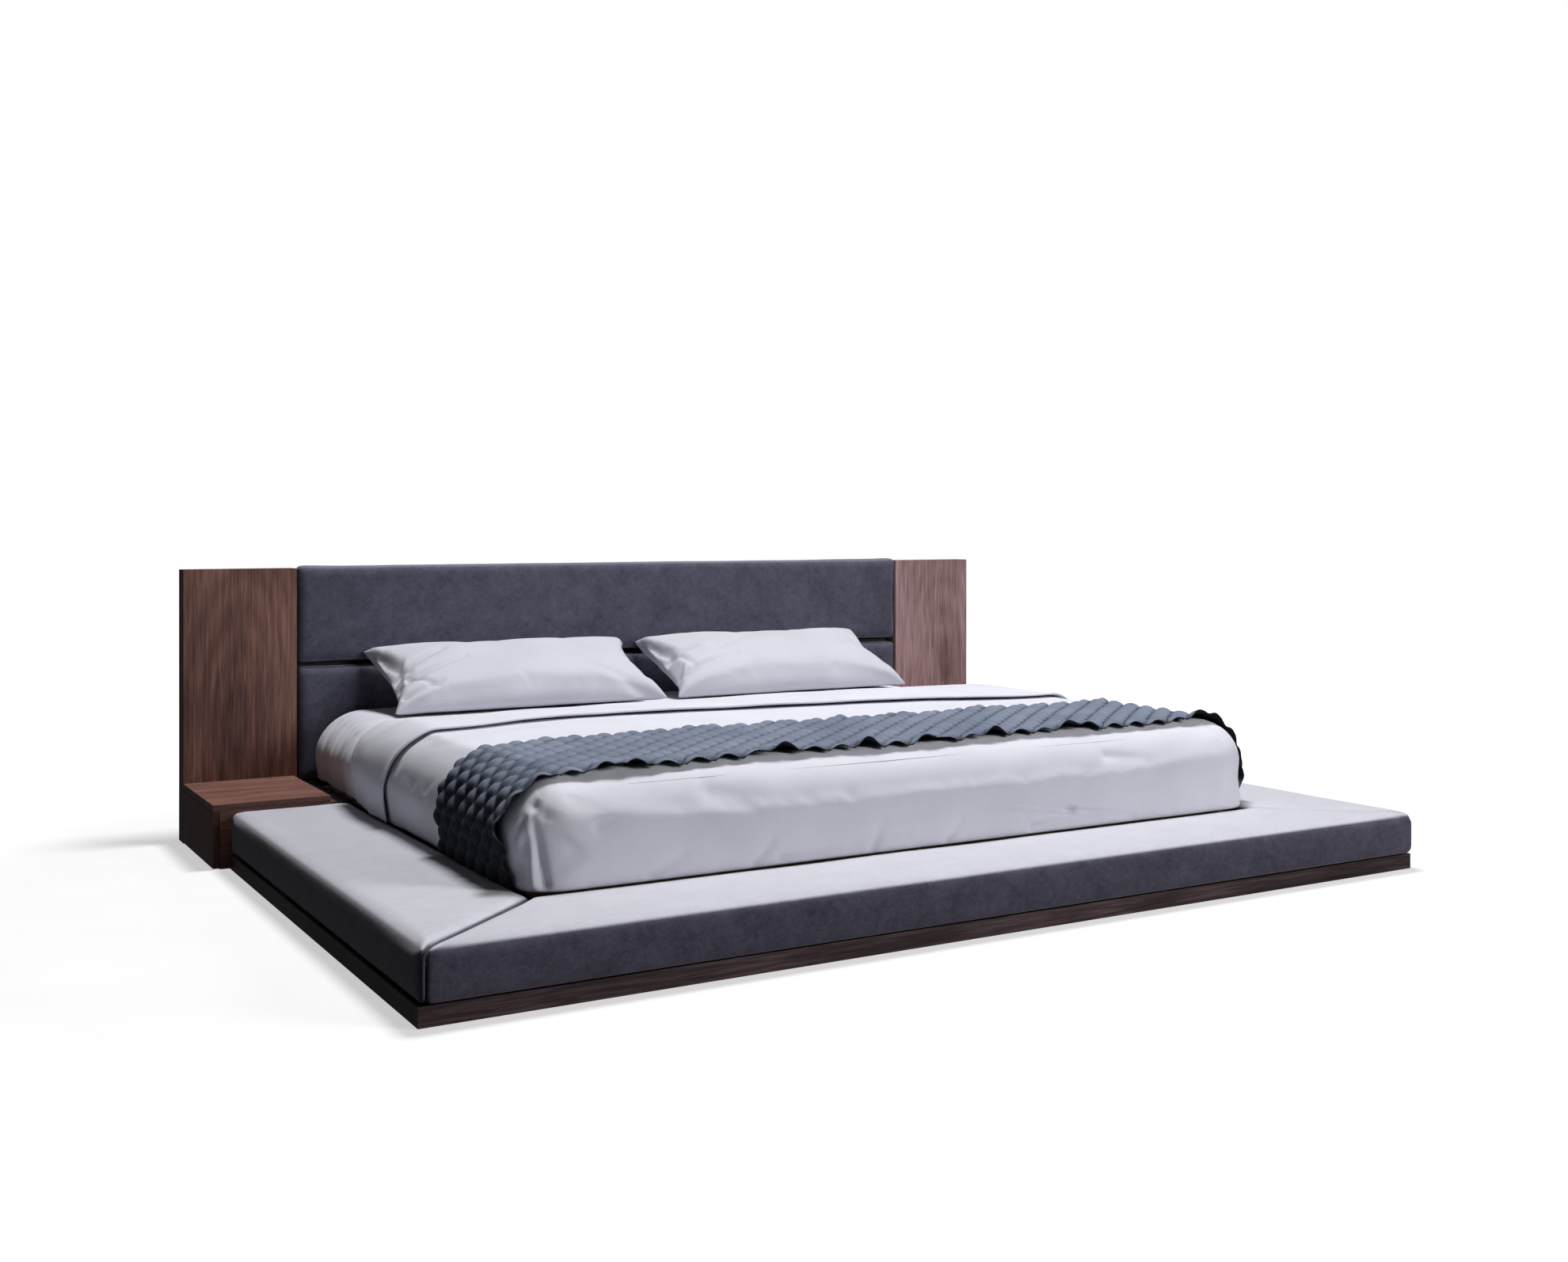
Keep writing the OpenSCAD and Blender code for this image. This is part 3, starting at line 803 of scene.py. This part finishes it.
def lay_over(skin, hi, hem, edge, step, length, place, height):
    """A grid laid over skin from hem to hem. place(s, t) is its Y, height(s, y, t) its lift."""
    half = hi.x - edge + edge * math.pi / 2 + (hi.z - edge - hem)
    columns, rows = int(2 * half / step), int(length / step)
    starts, lifts, gaps = [], [], []
    for i in range(columns + 1):
        s = -half + 2 * half * i / columns
        x, z, nx, nz = path_point(abs(s), hi, edge)
        side = 1 if s > 0 else -1
        normal = Vector((side * nx, 0, nz))
        for j in range(rows + 1):
            t = j / rows
            start = Vector((side * x, place(s, t), z)) + normal * 0.05
            hit = skin.ray_cast(start, -normal, 0.16)[0]
            gaps.append((start - hit).length if hit is not None else 0.055)
            starts.append((start, normal))
            lifts.append(height(s, start.y, t))
    gaps = np.array(gaps).reshape(columns + 1, rows + 1)
    for _ in range(10):
        ring = np.pad(gaps, 1, mode="edge")
        near = (ring[:-2, 1:-1] + ring[2:, 1:-1] + ring[1:-1, :-2] + ring[1:-1, 2:]) / 4
        gaps = np.minimum(gaps, 0.5 * gaps + 0.5 * near)
    points = [start - normal * (gap - lift)
              for (start, normal), gap, lift in zip(starts, gaps.ravel(), lifts)]
    faces = [[i * (rows + 1) + j, (i + 1) * (rows + 1) + j, (i + 1) * (rows + 1) + j + 1,
              i * (rows + 1) + j + 1] for i in range(columns) for j in range(rows)]
    return points, faces


# The diamonds of the quilting, how high they puff, and the runner's own cloth.
QUILT_ACROSS = 0.078
QUILT_ALONG = 0.078
QUILT_PUFF = 0.0130
RUNNER_EDGE = DUVET_EDGE + 0.008
RUNNER_INSET = 0.014
RUNNER_STEP = 0.0075
RUNNER_THICK = 0.0026


def quilt_loft(s, y):
    a, b = s / QUILT_ACROSS + y / QUILT_ALONG, s / QUILT_ACROSS - y / QUILT_ALONG
    return abs(math.sin(math.pi * a) * math.sin(math.pi * b)) ** 0.52


def add_runner(skin):
    """The quilted runner: diamond-stitched, with loose wavy edges, laid over the duvet."""
    lo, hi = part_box("quilted_runner")
    length = hi.y - lo.y
    loft = []

    def place(s, t):
        scallop = 0.006 * abs(math.sin(math.pi * s / QUILT_ACROSS)) * abs(2 * t - 1) ** 3
        drift = 0.016 * noise.noise(Vector((s * 1.6, 0.0, 5.0 + 2 * t)))
        along = lo.y + RUNNER_INSET + (length - 2 * RUNNER_INSET) * t
        return along + (scallop if t > 0.5 else -scallop) + drift

    def height(s, y, t):
        loft.append(quilt_loft(s, y))
        ripple = max(0.0, math.sin(s * 23.0 + 2.6 * math.sin(s * 4.3) + 0.6)) ** 1.5
        front = max(0.0, 1 - t / 0.14) ** 1.4
        rear = max(0.0, (t - 0.86) / 0.14)
        return 0.0035 + QUILT_PUFF * loft[-1] + (0.006 + 0.018 * ripple) * front + 0.006 * ripple * rear

    points, faces = lay_over(skin, hi, lo.z, RUNNER_EDGE, RUNNER_STEP, length, place, height)
    piece = new_piece("runner_quilt", points, faces, QUILT_TOP)
    layer = piece.data.attributes.new("loft", "FLOAT", "POINT")
    layer.data.foreach_set("value", loft)
    thick = piece.modifiers.new("thick", "SOLIDIFY")
    thick.thickness = RUNNER_THICK
    thick.offset = -1
    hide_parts("quilted_runner")
    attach(piece, "runner_body")


# Where the folded-back head of the duvet ends: distance from the middle, and Y.
FOLD_LINE = ((-1.42, 0.150), (-1.34, 0.190), (-1.26, 0.188), (-1.16, 0.150), (-1.06, 0.100),
             (-0.97, 0.080), (-0.85, 0.110), (-0.62, 0.165), (-0.30, 0.145), (0.10, 0.090),
             (0.50, 0.015), (0.84, -0.060), (1.10, -0.080), (1.42, -0.060))
FOLD_BLUR = (-0.1, -0.05, 0, 0.05, 0.1)
FOLD_STEP = 0.0135
FOLD_LENGTH = 0.48


def add_fold(skin):
    """The head of the duvet folded back over itself; its edge stands a little off the cover."""
    lo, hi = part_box("duvet")
    runs, ends = np.array(FOLD_LINE).T
    back = hi.y - 0.010

    def place(s, t):
        front = float(np.mean([np.interp(s + shift, runs, ends) for shift in FOLD_BLUR]))
        return front + (back - front) * t

    def height(s, y, t):
        soft = 0.0022 * noise.noise(Vector((s * 5, y * 5, 3.0)))
        lip = 0.0045 * math.exp(-((t / 0.03) ** 2))
        hang = 0.0055 * max(0.0, abs(s) - 1.0) * noise.noise(Vector((y * 16, s * 3, 9.0))) / 0.4
        return 0.0130 + soft + lip + hang - 0.006 * smooth(t, 0.80, 1.0)

    points, faces = lay_over(skin, hi, lo.z + 0.004, DUVET_EDGE, FOLD_STEP, FOLD_LENGTH,
                             place, height)
    piece = new_piece("duvet_fold", points, faces, LINEN)
    thick = piece.modifiers.new("thick", "SOLIDIFY")
    thick.thickness = FOLD_SHELL
    thick.offset = -1
    apply_modifiers(piece)
    refine(piece)
    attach(piece, "duvet_body")


# Creases that fan out from each pillow's outer seam: start, end, depth and width, on its face.
PILLOW_CREASES = {
    "pillow_left": [((-0.405, -0.040), (-0.230, 0.075), 0.030, 0.013),
                    ((-0.395, -0.100), (-0.180, 0.000), 0.022, 0.012),
                    ((-0.405, 0.120), (-0.365, -0.060), 0.020, 0.012),
                    ((-0.405, -0.165), (-0.290, -0.130), 0.022, 0.010),
                    ((-0.380, -0.070), (-0.300, -0.150), 0.014, 0.010),
                    ((0.350, -0.180), (0.190, -0.080), 0.012, 0.020),
                    ((0.400, -0.120), (0.370, 0.060), 0.018, 0.014)],
    "pillow_right": [((-0.405, 0.000), (-0.300, 0.025), 0.026, 0.013),
                     ((-0.395, -0.120), (-0.180, -0.060), 0.022, 0.013),
                     ((-0.405, 0.120), (-0.350, -0.090), 0.020, 0.012),
                     ((-0.220, 0.010), (-0.020, 0.110), 0.012, 0.028),
                     ((0.405, -0.010), (0.260, 0.045), 0.020, 0.013),
                     ((0.400, -0.110), (0.330, 0.090), 0.018, 0.015)],
}

PILLOW_DEPTH = 0.425
PILLOW_FULL = 0.064
PILLOW_STEP = 0.0125
PILLOW_TILT = math.radians(22.5)
SEAM_LIFT = 0.026


def add_pillow(name, body, seed):
    """A pillow: a seamed case shaped full, blown up a little for its wrinkles, then leant back."""
    lo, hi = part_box(name)
    width, depth, full = hi.x - lo.x, PILLOW_DEPTH, PILLOW_FULL
    half = np.array([width / 2, depth / 2, 0.005])
    points, faces = rounded_box(-half, half, 0.0045, PILLOW_STEP)
    u, v = points[:, 0] / half[0], points[:, 1] / half[1]
    dome = np.clip(1 - np.abs(u) ** 3.2, 0, 1) ** 0.62 * np.clip(1 - np.abs(v) ** 2.6, 0, 1) ** 0.60
    points = points.copy()
    points[:, 2] += np.sign(points[:, 2]) * full * dome * (1 - 0.12 * v)
    points[:, 0] *= 1 - 0.040 * (1 - v ** 2) * np.abs(u) ** 3
    points[:, 1] *= 1 - 0.055 * (1 - u ** 2) * np.abs(v) ** 3
    points[:, 2] += wobble(points * np.array([1, 1, 0]), 5.0, seed) * 0.006 * np.sqrt(dome)
    piece = new_piece(name + "_filled", points, faces, PILLOW_COTTON)
    puff(piece, pressure=2.2, cap=0.016, frames=18, shrink=-0.045, stiffness=9, bending=0.10)
    refine(piece)
    apply_modifiers(piece)
    p = get_points(piece)
    p[:, 2] -= np.minimum(lines_depth(p[:, :2], PILLOW_CREASES[name]), 0.7 * np.clip(p[:, 2], 0, 1))
    p[:, 0:2] *= np.array([width, depth]) / (p.max(0) - p.min(0))[:2]
    p -= (p.max(0) + p.min(0)) / 2
    turned = p.copy()
    turned[:, 1] = p[:, 1] * math.cos(PILLOW_TILT) - p[:, 2] * math.sin(PILLOW_TILT)
    turned[:, 2] = p[:, 1] * math.sin(PILLOW_TILT) + p[:, 2] * math.cos(PILLOW_TILT)
    turned += (np.array(lo) + np.array(hi)) / 2
    front_seam = turned[turned[:, 1] < turned[:, 1].min() + 0.01, 2].mean()
    turned[:, 2] += lo.z + SEAM_LIFT - front_seam
    bed = lo.z + 0.004
    turned[:, 2] = np.where(turned[:, 2] < bed + 0.012,
                            bed + 0.012 * np.exp((turned[:, 2] - bed - 0.012) / 0.012), turned[:, 2])
    set_points(piece, turned)
    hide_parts(name)
    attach(piece, body)


# ---------------------------------------------------------------- the scene

FLOOR_HALF = 30
FLOOR_Z = -0.0005


def add_floor():
    """A pale, glowing studio floor that fades into the white backdrop and casts no light on the bed."""
    s = Surface("floor", roughness=0.9, specular=0.1)
    mottle = s.noise(s.place((1, 1, 1)), 3.0)
    s.colour(s.ramp(mottle, [(0.3, (0.42, 0.42, 0.43)), (0.7, (0.44, 0.44, 0.45))]))
    glow = s.falloff(s.distance(s.place((0.85, 1, 1)), (0.0, 0.0, 0.0)), 3.6, 1.7)
    s.set(s.shader, "Emission Color", (1, 1, 1, 1))
    s.link(s.maths("ADD", s.maths("MULTIPLY", glow, 0.45), 0.55), s.shader, "Emission Strength")
    corners = [(x * FLOOR_HALF, y * FLOOR_HALF, FLOOR_Z) for x, y in ((-1, -1), (1, -1), (1, 1), (-1, 1))]
    floor = new_piece("floor", corners, [[0, 1, 2, 3]], s.material)
    floor.visible_diffuse = False
    floor.visible_glossy = False


scene.view_settings.view_transform = "Standard"
add_camera()
add_world(ambient=0.060, backdrop=1.0)
add_area_light("top_light", (0.6, 0.4, 6.2), (0, 0, 0), 1.8, 430)
add_area_light("front_light", (3.7, -6.4, 2.9), (0, 0, 0.3), 2.6, 305)
add_floor()

dress_wood()
dress_hardware()
add_pad("pad_front", mitre_front)
add_pad("pad_left", mitre_side)
add_pad("pad_right", mitre_side)
add_corner_welt("corner_welt_left", -1)
add_corner_welt("corner_welt_right", 1)
add_cushion("cushion_upper")
add_cushion("cushion_lower")
add_mattress()
add_flat_sheet()
cover = BVHTree.FromObject(add_duvet(), bpy.context.evaluated_depsgraph_get())
add_fold(cover)
add_runner(cover)
add_pillow("pillow_left", "pillow_left_body", 11)
add_pillow("pillow_right", "pillow_right_body", 12)
